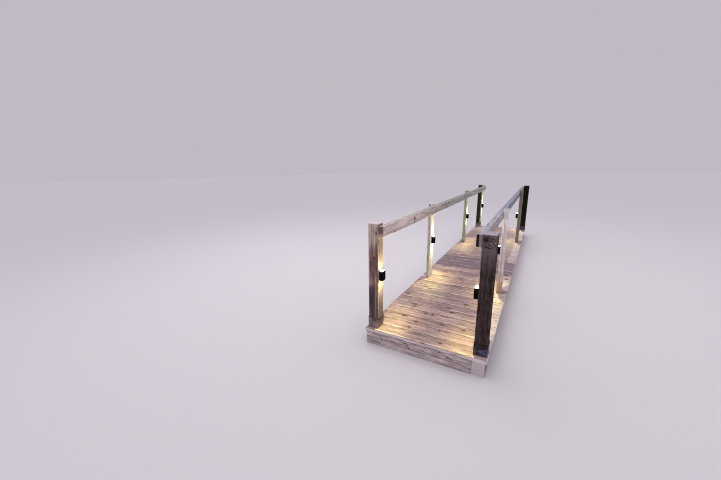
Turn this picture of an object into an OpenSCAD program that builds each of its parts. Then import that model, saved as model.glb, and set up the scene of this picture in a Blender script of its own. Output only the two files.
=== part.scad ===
// Timber footbridge with two handrails and a lamp on the inner face of each post.
// Frame: +Z up, +Y along the bridge, origin under its middle at ground level. Millimetres.

/* [Deck] */
// Length of the deck along the bridge
deck_l = 5560; // [3900:10:7200]
// Width of the deck, along a board
deck_w = 1070; // [860:10:1500]
// Width of a deck board
board_w = 140; // [90:1:200]
// Thickness of a deck board
board_t = 28; // [20:1:40]
// Least gap between two deck boards
board_gap = 2.5; // [2:0.5:8]
// Eased edge along the top of a deck board
board_ease = 3; // [1:0.5:5]
// Eased edge along the underside of a deck board, and on a riser
under_ease = 1; // [0.5:0.5:2]

/* [Frame] */
// Thickness of a bearer
bearer_t = 50; // [38:1:75]
// Depth of a bearer, from the ground to the deck boards
bearer_h = 125; // [100:1:250]
// Thickness of the riser across each end
riser_t = 28; // [18:1:50]
// How far a riser lies behind the ends of the deck
riser_inset = 4; // [2:1:20]
// Thickness of a cross piece between the bearers
noggin_t = 47; // [30:1:60]
// Number of cross pieces in a row along the bridge
noggin_rows = 7; // [3:1:11]
// Joint between two timbers that meet end to end
joint_gap = 1; // [0.5:0.5:3]

/* [Posts] */
// Width of a square corner post
post_w = 100; // [75:1:150]
// Height of the post tops above the deck
post_h = 990; // [700:10:1200]
// From the deck's side edge to a corner post
post_inset = 10; // [4:1:40]
// From the deck's end to a corner post
post_setback = 50; // [20:1:100]
// Eased edge of a corner post
post_ease = 4; // [1:0.5:8]

/* [Intermediate posts] */
// Thickness, across the bridge
mid_t = 50; // [38:1:75]
// Width, along the bridge
mid_w = 100; // [60:1:125]
// Left side, from the deck's front end to the first post
left_front_y = 1571; // [1000:1:1800]
// Right side, from the deck's front end to the first post
right_front_y = 1428; // [1000:1:1800]
// Left side, from the deck's rear end to the second post
left_rear_y = 1750; // [1000:1:1800]
// Right side, from the deck's rear end to the second post
right_rear_y = 1322; // [1000:1:1800]
// Room between a post and the deck boards cut round it
notch_gap = 3; // [1:0.5:8]
// Eased edge of an intermediate post
mid_ease = 2; // [1:0.5:6]

/* [Handrails] */
// Thickness of a handrail
rail_t = 50; // [35:1:75]
// Depth of a handrail
rail_h = 100; // [70:1:150]
// From the post tops down to the top of the handrail
rail_drop = 20; // [0:1:80]
// Eased edge of a handrail
rail_ease = 5; // [1:0.5:10]
// From the corner post's front back to the right handrail's front end
right_rail_back = 50; // [0:1:60]

/* [Post shoes] */
// Height of a post shoe
shoe_h = 100; // [60:1:160]
// Thickness of the shoe's plates
shoe_wall = 3; // [2:0.5:4]
// Thickness of the plate under the post
shoe_base = 4; // [2:0.5:8]
// Room between the post and its shoe
shoe_gap = 0.3; // [0.2:0.1:1]
// Diameter of a fixing hole
shoe_hole_d = 11; // [6:0.5:14]
// From the middle of the post sideways to a fixing hole
shoe_hole_x = 20; // [8:1:30]
// Height of the lower fixing hole
shoe_hole_z = 37; // [20:1:50]
// From the lower fixing hole up to the upper one
shoe_hole_rise = 36; // [15:1:80]

/* [Lamps] */
// Width of a lamp, along the bridge
lamp_w = 60; // [40:1:70]
// Height of a lamp
lamp_h = 90; // [60:1:140]
// How far a lamp stands out from its post
lamp_d = 34; // [24:1:48]
// Height of a lamp's middle above the deck
lamp_z = 510; // [250:5:700]
// Wall thickness of a lamp body
lamp_wall = 3; // [2:0.5:5]
// Thickness of a lamp's glass
glass_t = 8; // [4:0.5:12]
// How far the glass lies inside the rim
glass_sink = 2; // [1:0.5:5]
// Room around the glass
glass_gap = 0.3; // [0.1:0.1:0.8]
// Eased edge of a lamp body
lamp_ease = 2; // [1:0.5:4]

/* [Hidden] */
$fn = 48;

timber = [0.80, 0.68, 0.56];
timber_dark = [0.42, 0.34, 0.31];
timber_pale = [0.76, 0.72, 0.74];
galvanised = [0.60, 0.62, 0.66];
black = [0.07, 0.07, 0.08];
warm_glass = [1.00, 0.93, 0.72];

// Boards spread evenly, so that the first and last lie flush with the deck's ends
board_n = floor((deck_l + board_gap) / (board_w + board_gap));
board_pitch = (deck_l - board_w) / (board_n - 1);
deck_top = bearer_h + board_t;
post_top = deck_top + post_h;

// The plane that bearers, posts and handrails share on each side
side_x = deck_w / 2 - post_inset - post_w;
cut_x = side_x - notch_gap;
end_y = deck_l / 2;
frame_end_y = end_y - riser_inset - riser_t;
corner_y = end_y - post_setback - post_w;
rail_z = post_top - rail_drop - rail_h;
noggin_span = side_x - 1.5 * bearer_t;

// Middles of the posts along the bridge, front to rear, on each side
left_y = [-corner_y - post_w / 2, -end_y + left_front_y + mid_w / 2,
    end_y - left_rear_y - mid_w / 2, corner_y + post_w / 2];
right_y = [-corner_y - post_w / 2, -end_y + right_front_y + mid_w / 2,
    end_y - right_rear_y - mid_w / 2, corner_y + post_w / 2];

// Side and middle of each intermediate post
mids = [[-1, left_y[1]], [-1, left_y[2]], [1, right_y[1]], [1, right_y[2]]];

// Corner points of a rectangle with eased corners
function eased(a, b, e) = [[e, 0], [a - e, 0], [a, e], [a, b - e],
    [a - e, b], [e, b], [0, b - e], [0, e]];

// Section of a deck board: eased by e on top and by u below
function board_section(w, t, e, u) = [[u, 0], [w - u, 0], [w, u], [w, t - e],
    [w - e, t], [e, t], [0, t - e], [0, u]];

// Outline of a post seen from the side: square foot, eased top
function post_side(w, h, e) = [[0, 0], [w, 0], [w, h - e], [w - e, h], [e, h], [0, h - e]];

// Extrusions along the three axes, from the corner at the origin
module along_x(l) { rotate([90, 0, 90]) linear_extrude(l) children(); }
module along_y(l) { translate([0, l, 0]) rotate([90, 0, 0]) linear_extrude(l) children(); }

// Middle of board k along the bridge
function board_y(k) = -end_y + board_w / 2 + k * board_pitch;

// A board is notched where it overlaps the room kept round an intermediate post
function meets_mid(k) =
    len([for (m = mids) if (abs(board_y(k) - m[1]) < (board_w + mid_w) / 2 + notch_gap) m]) > 0;

module deck_board(k) {
    translate([-deck_w / 2, board_y(k) - board_w / 2, bearer_h])
        along_x(deck_w) polygon(board_section(board_w, board_t, board_ease, under_ease));
}

// Room for the intermediate posts, open to the deck's side edges
module mid_notches() {
    for (m = mids)
        translate([m[0] * (cut_x + deck_w / 2), m[1], bearer_h + board_t / 2])
            cube([deck_w, mid_w + 2 * notch_gap, 2 * board_t], center = true);
}

module deck_boards(first, last) {
    color(timber)
        for (k = [first : 1 : last])
            if (!meets_mid(k)) deck_board(k);
}

module notched_boards() {
    color(timber)
        for (k = [0 : board_n - 1])
            if (meets_mid(k))
                difference() {
                    deck_board(k);
                    mid_notches();
                }
}

module bearer(x) {
    color(timber_pale) translate([x - bearer_t / 2, -frame_end_y, 0])
        along_y(2 * frame_end_y) square([bearer_t, bearer_h]);
}

module noggins() {
    span = frame_end_y - noggin_t / 2;
    color(timber_pale)
        for (sx = [-1, 1], k = [0 : noggin_rows - 1])
            translate([sx * (bearer_t + noggin_span) / 2,
                span * (2 * k / (noggin_rows - 1) - 1), bearer_h / 2])
                cube([noggin_span, noggin_t, bearer_h], center = true);
}

// Block below a corner post; front_face is where its end grain lies along the bridge
module corner_block(sx, sy, front_face) {
    length = front_face - corner_y;
    color(timber_pale)
        translate([sx > 0 ? side_x : -side_x - post_w, sy > 0 ? corner_y : -front_face, 0])
            cube([post_w, length, bearer_h]);
}

module riser_front() {
    width = side_x + post_w + side_x - joint_gap;
    color(timber_pale) translate([-side_x - post_w, -end_y + riser_inset, 0])
        along_y(riser_t) polygon(post_side(width, bearer_h, under_ease));
}

module riser_rear() {
    width = 2 * (side_x + post_w);
    color(timber_pale) translate([-width / 2, frame_end_y, 0])
        along_y(riser_t) polygon(post_side(width, bearer_h, under_ease));
}

// Square-cut post with eased long edges and top
module square_post(w, d, h, e) {
    intersection() {
        linear_extrude(h) polygon(eased(w, d, e));
        along_y(d) polygon(post_side(w, h, e));
        along_x(w) polygon(post_side(d, h, e));
    }
}

module corner_post(sx, sy) {
    foot = deck_top + shoe_base;
    color(timber_dark)
        translate([sx > 0 ? side_x : -side_x - post_w, sy > 0 ? corner_y : -corner_y - post_w, foot])
            square_post(post_w, post_w, post_top - foot, post_ease);
}

// Galvanised shoe: a plate under the post and four upstands round it, drilled on two faces
module post_shoe(sx, sy) {
    inner = post_w + 2 * shoe_gap;
    outer = inner + 2 * shoe_wall;
    color(galvanised)
        translate([sx * (side_x + post_w / 2), sy * (corner_y + post_w / 2), deck_top])
            difference() {
                translate([-outer / 2, -outer / 2, 0])
                    linear_extrude(shoe_h) polygon(eased(outer, outer, shoe_wall));
                translate([-inner / 2, -inner / 2, shoe_base])
                    linear_extrude(shoe_h) polygon(eased(inner, inner, shoe_wall / 3));
                for (k = [0, 1])
                    translate([(2 * k - 1) * shoe_hole_x, 0, shoe_hole_z + k * shoe_hole_rise])
                        rotate([90, 0, 0])
                            cylinder(d = shoe_hole_d, h = 2 * outer, center = true);
            }
}

module mid_post(m) {
    color(timber)
        translate([m[0] > 0 ? side_x : -side_x - mid_t, m[1] - mid_w / 2, 0])
            square_post(mid_t, mid_w, post_top, mid_ease);
}

// Handrail from post to post; its front end lies back from the corner post's front
module handrail(sx, back) {
    post_face = corner_y + post_w;
    color(timber_pale)
        translate([sx > 0 ? side_x - rail_t : -side_x, back - post_face, rail_z])
            along_y(2 * post_face - back) polygon(eased(rail_t, rail_h, rail_ease));
}

// Box lamp on a post's inner face, with a pocket for glass above and below
module lamp(sx, y) {
    pocket = [lamp_d - 2 * lamp_wall, lamp_w - 2 * lamp_wall, glass_t + glass_sink];
    color(black)
        translate([sx * (side_x - lamp_d / 2), y, deck_top + lamp_z])
            difference() {
                translate([-lamp_d / 2, -lamp_w / 2, -lamp_h / 2])
                    linear_extrude(lamp_h) polygon(eased(lamp_d, lamp_w, lamp_ease));
                for (sz = [-1, 1])
                    translate([0, 0, sz * (lamp_h - pocket[2] + 1) / 2])
                        cube(pocket + [0, 0, 1], center = true);
            }
}

module lamp_glass(sx, posts_y) {
    size = [lamp_d - 2 * (lamp_wall + glass_gap), lamp_w - 2 * (lamp_wall + glass_gap), glass_t];
    color(warm_glass)
        for (y = posts_y, sz = [-1, 1])
            translate([sx * (side_x - lamp_d / 2), y,
                deck_top + lamp_z + sz * (lamp_h / 2 - glass_sink - glass_t / 2)])
                cube(size, center = true);
}

// Boards counted from the front, in thirds
third = floor(board_n / 3);

module bearer_left() { bearer(bearer_t / 2 - side_x); }
module bearer_middle() { bearer(0); }
module bearer_right() { bearer(side_x - bearer_t / 2); }
module corner_block_front_left() { corner_block(-1, -1, frame_end_y); }
module corner_block_front_right() { corner_block(1, -1, end_y - riser_inset); }
module corner_block_rear_left() { corner_block(-1, 1, frame_end_y); }
module corner_block_rear_right() { corner_block(1, 1, frame_end_y); }
module deck_boards_front() { deck_boards(0, third - 1); }
module deck_boards_notched() { notched_boards(); }
module deck_boards_middle() { deck_boards(third, board_n - third - 1); }
module deck_boards_rear() { deck_boards(board_n - third, board_n - 1); }
module post_shoe_front_left() { post_shoe(-1, -1); }
module post_shoe_front_right() { post_shoe(1, -1); }
module post_shoe_rear_left() { post_shoe(-1, 1); }
module post_shoe_rear_right() { post_shoe(1, 1); }
module post_front_left() { corner_post(-1, -1); }
module post_front_right() { corner_post(1, -1); }
module post_rear_left() { corner_post(-1, 1); }
module post_rear_right() { corner_post(1, 1); }
module mid_post_left_front() { mid_post(mids[0]); }
module mid_post_left_rear() { mid_post(mids[1]); }
module mid_post_right_front() { mid_post(mids[2]); }
module mid_post_right_rear() { mid_post(mids[3]); }
module handrail_left() { handrail(-1, 0); }
module handrail_right() { handrail(1, right_rail_back); }

bearer_left();
bearer_middle();
bearer_right();
noggins();
corner_block_front_left();
corner_block_front_right();
corner_block_rear_left();
corner_block_rear_right();
riser_front();
riser_rear();
deck_boards_front();
deck_boards_notched();
deck_boards_middle();
deck_boards_rear();
post_shoe_front_left();
post_shoe_front_right();
post_shoe_rear_left();
post_shoe_rear_right();
post_front_left();
post_front_right();
post_rear_left();
post_rear_right();
mid_post_left_front();
mid_post_left_rear();
mid_post_right_front();
mid_post_right_rear();
handrail_left();
handrail_right();
lamp(-1, left_y[0]);  // lamp_left_1
lamp(-1, left_y[1]);  // lamp_left_2
lamp(-1, left_y[2]);  // lamp_left_3
lamp(-1, left_y[3]);  // lamp_left_4
lamp(1, right_y[0]);  // lamp_right_1
lamp(1, right_y[1]);  // lamp_right_2
lamp(1, right_y[2]);  // lamp_right_3
lamp(1, right_y[3]);  // lamp_right_4
lamp_glass(-1, left_y);  // lamp_glass_left
lamp_glass(1, right_y);  // lamp_glass_right
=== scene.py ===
"""Timber footbridge with lit posts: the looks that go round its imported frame, laid out as an add-on."""

from functools import cache, partial
import math
import random

import bmesh
import bpy
from bpy.props import FloatProperty, FloatVectorProperty, IntProperty, PointerProperty
from mathutils import Matrix, Vector, noise


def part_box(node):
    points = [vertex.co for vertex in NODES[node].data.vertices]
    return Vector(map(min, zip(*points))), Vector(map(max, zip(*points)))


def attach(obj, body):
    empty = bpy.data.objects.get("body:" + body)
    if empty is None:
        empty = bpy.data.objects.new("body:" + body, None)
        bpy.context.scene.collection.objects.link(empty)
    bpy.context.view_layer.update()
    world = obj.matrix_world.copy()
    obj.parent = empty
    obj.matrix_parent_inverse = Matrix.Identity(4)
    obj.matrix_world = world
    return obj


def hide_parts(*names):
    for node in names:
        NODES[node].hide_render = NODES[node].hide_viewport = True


bl_info = {
    "name": "Timber Footbridge",
    "version": (1, 0, 0),
    "blender": (4, 5, 0),
    "location": "3D View > Sidebar > Footbridge",
    "description": "Dresses the frame of a small timber footbridge with boards, fixings and lit lamps",
    "category": "Add Mesh",
}

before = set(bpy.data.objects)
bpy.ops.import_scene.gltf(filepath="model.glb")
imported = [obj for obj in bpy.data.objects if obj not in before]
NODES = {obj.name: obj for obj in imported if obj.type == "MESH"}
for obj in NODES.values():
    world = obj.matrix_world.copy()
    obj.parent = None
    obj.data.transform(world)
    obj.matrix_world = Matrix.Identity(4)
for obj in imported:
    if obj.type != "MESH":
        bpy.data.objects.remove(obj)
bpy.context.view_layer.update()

BODY = "root"
SIDES = {"left": -1, "right": 1}
CORNERS = [(end, side) for end in ("front", "rear") for side in SIDES]
BEARERS = ("bearer_left", "bearer_middle", "bearer_right")
DECK_LOW, DECK_TOP = (corner.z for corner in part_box("deck_boards_front"))
DECK_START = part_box("deck_boards_front")[0].y
DECK_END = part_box("deck_boards_rear")[1].y
GRAIN_STEP = 20.0        # how far apart two pieces lie in the grain's own space
GRAIN_SPACES = 40        # how many such spaces the pieces' seeds are spread over
WELD = 0.00002           # vertices nearer than this are one
WANDER_WAVES = 2.1       # how often in a metre a sawn face wanders
NICK_WAVES = 23, 61      # how often in a metre a worn edge is nicked, coarsely and finely
HEAD_SIDES = 12          # sides of a screw's turned head
MUD = (0.09, 0.07, 0.065)
RUST = (0.20, 0.10, 0.05)


# Meshes

def merged(node):
    """A bmesh of a frame node, its loose triangles joined into whole flat faces."""
    bm = bmesh.new()
    bm.from_mesh(NODES[node].data)
    bmesh.ops.remove_doubles(bm, verts=bm.verts, dist=WELD)
    bmesh.ops.dissolve_limit(bm, angle_limit=math.radians(1), verts=bm.verts, edges=bm.edges)
    return bm


def islands(bm):
    """The separate solids of a bmesh, as lists of vertices."""
    left, found = set(bm.verts), []
    while left:
        stack = [left.pop()]
        island = list(stack)
        while stack:
            for edge in stack.pop().link_edges:
                for vert in edge.verts:
                    if vert in left:
                        left.discard(vert)
                        island.append(vert)
                        stack.append(vert)
        found.append(sorted(island, key=lambda v: v.index))
    return sorted(found, key=lambda verts: verts[0].index)


def middle_of(verts):
    return sum((v.co for v in verts), Vector()) / len(verts)


def soften(bm, width, over=20):
    """Rounds every edge that turns by more than the given angle."""
    edges = [e for e in bm.edges if len(e.link_faces) == 2
             and e.calc_face_angle(0) > math.radians(over)]
    bmesh.ops.bevel(bm, geom=edges, offset=width, segments=2, profile=0.5,
                    affect="EDGES", clamp_overlap=True)


def slice_along(bm, axis, step):
    """Cuts faces at even steps along an axis, so that they can bend and wear."""
    values = [v.co[axis] for v in bm.verts]
    low, high = min(values), max(values)
    count = max(1, round((high - low) / step))
    normal = Vector([1 if k == axis else 0 for k in range(3)])
    for k in range(1, count):
        at = normal * (low + (high - low) * k / count)
        bmesh.ops.bisect_plane(bm, geom=bm.verts[:] + bm.edges[:] + bm.faces[:],
                               plane_co=at, plane_no=normal, dist=0.00001)


def on_flat(vert):
    """Whether a vertex belongs to a face that looks straight along an axis."""
    return any(max(abs(c) for c in face.normal) > 0.999 for face in vert.link_faces)


def wear(bm, axis, depth, wave, seed):
    """Wears the long edges unevenly and lets the faces wander a little, as sawn timber does."""
    bm.normal_update()
    for island in islands(bm):
        middle = middle_of(island)
        moves = []
        for v in island:
            out = v.co - middle
            out[axis] = 0
            along = v.co + Vector((seed, seed * 1.7, 0))
            push = noise.noise(along * WANDER_WAVES) * wave
            if not on_flat(v):
                coarse, fine = (noise.noise(along * waves) for waves in NICK_WAVES)
                push -= depth * max(0, coarse + 0.35 * fine)
            moves.append(out.normalized() * push)
        for v, move in zip(island, moves):
            v.co += move
            v.co.z = max(v.co.z, 0.0)


def mesh_from(name, bm):
    mesh = bpy.data.meshes.new(name)
    bm.to_mesh(mesh)
    bm.free()
    return mesh


def show(name, data):
    """Makes an object and puts it in the scene."""
    obj = bpy.data.objects.new(name, data)
    bpy.context.scene.collection.objects.link(obj)
    return obj


def finish_mesh(name, bm, axis_of, seed, pith=(0.0, 0.0)):
    """Makes the object and stores what the timber's finish reads.

    grain is the place in the log: along it, and across it from the pith, with each solid in a space of
    its own. arris is 1 on worn edges, and end is 1 on cut ends.
    """
    bm.normal_update()
    bm.verts.index_update()
    bm.faces.index_update()
    grain = [(0.0, 0.0, 0.0)] * len(bm.verts)
    draw = random.Random(seed)
    axis = "XYZ".index(axis_of)
    a, b = [k for k in range(3) if k != axis]
    for number, island in enumerate(islands(bm)):
        middle = middle_of(island)
        shift = GRAIN_STEP * (number + 1 + seed % GRAIN_SPACES)
        off_a = pith[0] * draw.uniform(0.5, 1.2) * draw.choice((-1, 1))
        off_b = pith[1] * draw.uniform(0.6, 1.3) * draw.choice((-1, 1))
        for v in island:
            grain[v.index] = (v.co[axis] + shift, v.co[a] - middle[a] + off_a,
                              v.co[b] - middle[b] + off_b)
    arris = [0.0 if on_flat(v) else 1.0 for v in bm.verts]
    end = [1.0 if abs(f.normal[axis]) > 0.7 else 0.0 for f in bm.faces]
    mesh = mesh_from(name, bm)
    mesh.attributes.new("grain", "FLOAT_VECTOR", "POINT").data.foreach_set(
        "vector", [c for place in grain for c in place])
    mesh.attributes.new("arris", "FLOAT", "POINT").data.foreach_set("value", arris)
    mesh.attributes.new("end", "FLOAT", "FACE").data.foreach_set("value", end)
    return show(name, mesh)


def apply_all(obj):
    """Turns an object's modifiers into its mesh."""
    depsgraph = bpy.context.evaluated_depsgraph_get()
    mesh = bpy.data.meshes.new_from_object(obj.evaluated_get(depsgraph),
                                           preserve_all_data_layers=True, depsgraph=depsgraph)
    obj.modifiers.clear()
    old, obj.data = obj.data, mesh
    if old.users == 0:
        bpy.data.meshes.remove(old)
    return obj


def dress(obj, material, slot, *nodes):
    """Gives a finished piece its material, hides the frame nodes that it stands for and hangs it on the
    body.
    """
    obj.data.materials.clear()
    obj.data.materials.append(finish(material))
    if nodes:
        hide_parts(*nodes)
    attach(obj, BODY)


def dress_smooth(obj, material, slot, *nodes):
    """Dresses a piece, with smooth rounded edges beside its flat faces."""
    for face in obj.data.polygons:
        face.use_smooth = True
    obj.data.set_sharp_from_angle(angle=math.radians(60))
    even = obj.modifiers.new("Weighted Normal", "WEIGHTED_NORMAL")
    even.keep_sharp = True
    dress(apply_all(obj), material, slot, *nodes)


def timber_piece(node, axis, material, slot, seed, round_by=None, depth=None, pith=(0.03, 0.05),
                 step=0.03):
    """A frame node in timber, its edges rounded and worn as the settings say, or as asked."""
    settings = bpy.context.scene.bridge_timber
    bm = merged(node)
    soften(bm, settings.rounding if round_by is None else round_by)
    index = "XYZ".index(axis)
    slice_along(bm, index, step)
    wear(bm, index, settings.wear_depth if depth is None else depth, settings.wander, seed)
    dress_smooth(finish_mesh(node + "_timber", bm, axis, seed, pith), material, slot, node)


def template(name, bm):
    """A small part that is copied many times, kept out of sight."""
    bmesh.ops.recalc_face_normals(bm, faces=bm.faces)
    return bpy.data.objects.new(name, mesh_from(name, bm))


def turned(name, rings):
    """A turned head of rings, each a radius, a height and how far in every other point lies."""
    bm = bmesh.new()
    loops = []
    for radius, height, *star in rings:
        loop = []
        for k in range(HEAD_SIDES):
            reach = radius * star[0] if star and k % 2 == 0 else radius
            turn = math.tau * k / HEAD_SIDES
            loop.append(bm.verts.new((reach * math.cos(turn), reach * math.sin(turn), height)))
        loops.append(loop)
    for low, high in zip(loops, loops[1:]):
        for k in range(HEAD_SIDES):
            after = (k + 1) % HEAD_SIDES
            bm.faces.new((low[k], low[after], high[after], high[k]))
    bm.faces.new(loops[0][::-1])
    bm.faces.new(loops[-1])
    return template(name, bm)


# Node trees

class Value:
    """What a node puts out. A sign between it and another, or a number, adds a maths node."""

    def __init__(self, socket):
        self.socket = socket

    def __add__(self, other):
        return calc("ADD", self, other)

    def __sub__(self, other):
        return calc("SUBTRACT", self, other)

    def __rsub__(self, other):
        return calc("SUBTRACT", other, self)

    def __mul__(self, other):
        return calc("MULTIPLY", self, other)

    def __truediv__(self, other):
        return calc("DIVIDE", self, other)

    def __rtruediv__(self, other):
        return calc("DIVIDE", other, self)


def tree_of(*values):
    """The node tree that the first node's output among some values is in."""
    return next(v.socket.id_data for v in values if isinstance(v, Value))


def outputs(node):
    return {socket.name: Value(socket) for socket in node.outputs}


def put(socket, value):
    """Links a socket to another node's output, or sets its value."""
    if isinstance(value, Value):
        socket.id_data.links.new(value.socket, socket)
    else:
        socket.default_value = value


def add(tree, kind, inputs=None, **fields):
    """Adds a node with its fields and inputs."""
    node = tree.nodes.new(kind)
    for name, value in fields.items():
        setattr(node, name, value)
    for key, value in (inputs or {}).items():
        put(node.inputs[key], value)
    return node


def calc(operation, *values, clamp=False):
    node = add(tree_of(*values), "ShaderNodeMath", operation=operation, use_clamp=clamp)
    for socket, value in zip(node.inputs, values):
        put(socket, value)
    return Value(node.outputs[0])


def vector(operation, *values, scale=None, out="Vector"):
    node = add(tree_of(*values), "ShaderNodeVectorMath", operation=operation)
    for socket, value in zip(node.inputs, values):
        put(socket, value)
    if scale is not None:
        put(node.inputs["Scale"], scale)
    return Value(node.outputs[out])


def ramp(value, low, high, to_low=0.0, to_high=1.0, kind="SMOOTHSTEP"):
    """A value moved from one range to another, held at the ends."""
    return outputs(add(tree_of(value), "ShaderNodeMapRange", {
        "Value": value, "From Min": low, "From Max": high, "To Min": to_low, "To Max": to_high},
        interpolation_type=kind, clamp=True))["Result"]


def mix(factor, a, b, mode="MIX"):
    node = add(tree_of(factor, a, b), "ShaderNodeMix", {"Factor": factor},
               data_type="RGBA", blend_type=mode, clamp_factor=True)
    colours = [s for s in node.inputs if s.type == "RGBA"]
    for socket, value in zip(colours, (a, b)):
        put(socket, value if isinstance(value, Value) else rgba(value))
    return Value(next(s for s in node.outputs if s.type == "RGBA"))


def cloud(place, scale, detail=2.0, rough=0.5, out="Fac"):
    return outputs(add(tree_of(place), "ShaderNodeTexNoise", {
        "Vector": place, "Scale": scale, "Detail": detail, "Roughness": rough}))[out]


def parts(value, kind="XYZ"):
    """The three numbers of a place or a colour."""
    return [Value(s) for s in add(tree_of(value), "ShaderNodeSeparate" + kind, {0: value}).outputs]


def join(x, y, z):
    return Value(add(tree_of(x, y, z), "ShaderNodeCombineXYZ", {"X": x, "Y": y, "Z": z}).outputs[0])


def grey(value):
    """A value as a grey colour."""
    return Value(add(tree_of(value), "ShaderNodeCombineColor", {0: value, 1: value, 2: value}).outputs[0])


def spread(a, b):
    return calc("SQRT", calc("POWER", a, 2.0) + calc("POWER", b, 2.0))


def rgba(colour):
    return tuple(colour)[:3] + (1.0,)


def shade(colour, share):
    """A colour made darker."""
    return tuple(c * share for c in colour)


def open_group(name, numbers):
    """A new shader node group that takes a place and some numbers, and what those give."""
    tree = bpy.data.node_groups.new(name, "ShaderNodeTree")
    tree.interface.new_socket("Place", in_out="INPUT", socket_type="NodeSocketVector")
    for label, default in numbers.items():
        socket = tree.interface.new_socket(label, in_out="INPUT", socket_type="NodeSocketFloat")
        socket.default_value = default
    return tree, outputs(tree.nodes.new("NodeGroupInput"))


def close_group(tree, masks):
    """Gives a shader node group its outputs."""
    for label in masks:
        tree.interface.new_socket(label, in_out="OUTPUT", socket_type="NodeSocketFloat")
    ends = tree.nodes.new("NodeGroupOutput").inputs
    for label, mask in masks.items():
        put(ends[label], mask)
    return tree


def make_grain_group():
    """Growth rings round the pith, fibre along it, and slow clouds of tone."""
    tree, given = open_group("Sawn grain", {
        "Ring width": 0.005, "Wander": 0.012, "Push": 0.0, "Fibre": 260.0})
    place = given["Place"]

    def stretched(along, across, scale=1.0, **look):
        return cloud(vector("MULTIPLY", place, (along, across, across)), scale, **look)

    bend = vector("SUBTRACT", stretched(1.1, 5.0, out="Color"), (0.5, 0.5, 0.5))
    bent = vector("ADD", place, vector("SCALE", bend, scale=given["Wander"]))
    radius = vector("LENGTH", vector("MULTIPLY", bent, (0.0, 1.0, 1.0)), out="Value")
    turns = (radius + given["Push"]) / given["Ring width"] + stretched(3.0, 40.0) * 1.6
    part = calc("FRACT", turns)
    return close_group(tree, {
        "Ring": ramp(part, 0.25, 0.86) * ramp(part, 0.9, 1.0, 1.0, 0.0),
        "Fibre": stretched(0.035, 1.0, given["Fibre"], detail=3.0, rough=0.6),
        "Cloud": stretched(1.6, 11.0, detail=3.0),
        "Streak": stretched(1.6, 52.0, detail=4.0, rough=0.65),
        "Fine": stretched(6.0, 95.0, detail=3.0, rough=0.6),
        "Mottle": stretched(15.0, 42.0, detail=3.0, rough=0.6)})


def make_knot_group():
    """Scattered knots on a face, from the place along and across it."""
    tree, given = open_group("Scattered knots", {
        "Cell along": 0.35, "Cell across": 0.12, "Radius": 0.012, "Share": 0.5})
    x, y, _ = parts(given["Place"])
    cell = join(x / given["Cell along"], y / given["Cell across"], 0.0)
    spots = outputs(add(tree, "ShaderNodeTexVoronoi", {"Vector": cell, "Scale": 1.0},
                        voronoi_dimensions="2D"))
    gap_x, gap_y, _ = parts(vector("SUBTRACT", spots["Position"], cell))
    away = spread(gap_y * given["Cell across"], gap_x * given["Cell along"] * 0.8)
    first, second, _ = parts(spots["Color"], "Color")
    chosen = calc("LESS_THAN", first, given["Share"])
    ratio = away / (given["Radius"] * ramp(second, 0.0, 1.0, 0.45, 1.25))
    return close_group(tree, {
        "Core": ramp(ratio, 0.75, 1.1, 1.0, 0.0) * chosen,
        "Halo": ramp(ratio, 0.9, 3.4, 1.0, 0.0) * chosen,
        "Ripple": calc("SINE", ratio * 7.0) * ramp(ratio, 0.8, 3.0, 1.0, 0.0)})


def make_piece_group():
    """A chance of its own for each piece of timber, from the grain's space."""
    tree, given = open_group("Piece chance", {})
    number = calc("ROUND", parts(given["Place"])[0] / GRAIN_STEP)
    draw = outputs(add(tree, "ShaderNodeTexWhiteNoise", {"W": number}, noise_dimensions="1D"))
    return close_group(tree, {"Chance": parts(draw["Color"], "Color")[0]})


def make_dust_group():
    """Patches of dust and damp, and a band of splashes near the ground."""
    tree, given = open_group("Dust and damp", {"Size": 0.3, "Splash height": 0.1, "Splash fade": 0.1})
    place, height = given["Place"], given["Splash height"]
    edge = parts(place)[2] + cloud(place, 14.0, 3.0) * -0.09
    return close_group(tree, {
        "Patch": ramp(cloud(place, 1.0 / given["Size"], 4.0, 0.6), 0.42, 0.68),
        "Speck": ramp(cloud(place, 420.0), 0.62, 0.74),
        "Splash": ramp(edge, height, height - given["Splash fade"])})


GROUP_MAKERS = {"grain": make_grain_group, "knots": make_knot_group, "piece": make_piece_group,
                "dust": make_dust_group}


@cache
def shader_group(name):
    return GROUP_MAKERS[name]()


def use(tree, name, inputs):
    """Places a shader node group and gives its outputs."""
    return outputs(add(tree, "ShaderNodeGroup", inputs, node_tree=shader_group(name)))


# Finishes

def new_material(name):
    material = bpy.data.materials.new(name)
    material.use_nodes = True
    tree = material.node_tree
    return material, tree, tree.nodes["Principled BSDF"]


def attribute(tree, name, out="Fac"):
    return outputs(add(tree, "ShaderNodeAttribute", attribute_name=name))[out]


def place_of(tree):
    return outputs(add(tree, "ShaderNodeTexCoord"))["Object"]


def surface(shader, colour, dull, height, strength, depth, shine):
    """Puts a colour, a roughness, a relief and a shine on a material's shader."""
    put(shader.inputs["Base Color"], colour)
    put(shader.inputs["Roughness"], dull)
    relief = add(shader.id_data, "ShaderNodeBump", {
        "Strength": strength, "Distance": depth, "Height": height})
    put(shader.inputs["Normal"], Value(relief.outputs[0]))
    shader.inputs["Specular IOR Level"].default_value = shine


def round_pith(place):
    """The place along the grain and round the pith, where knots lie on a squared timber."""
    x, y, z = parts(place)
    return join(x, calc("ARCTAN2", z, y) * 0.06, 0.0)


def seen_knots(place, spots, kept):
    """Nearness to the nearest of the knots that show, each a point on a face and a radius."""
    nearest = None
    flat = vector("MULTIPLY", place, kept)
    for *point, size in spots:
        there = tuple(a * b for a, b in zip(point, kept))
        away = vector("DISTANCE", flat, there, out="Value") / size
        nearest = away if nearest is None else calc("MINIMUM", nearest, away)
    return nearest


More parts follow.
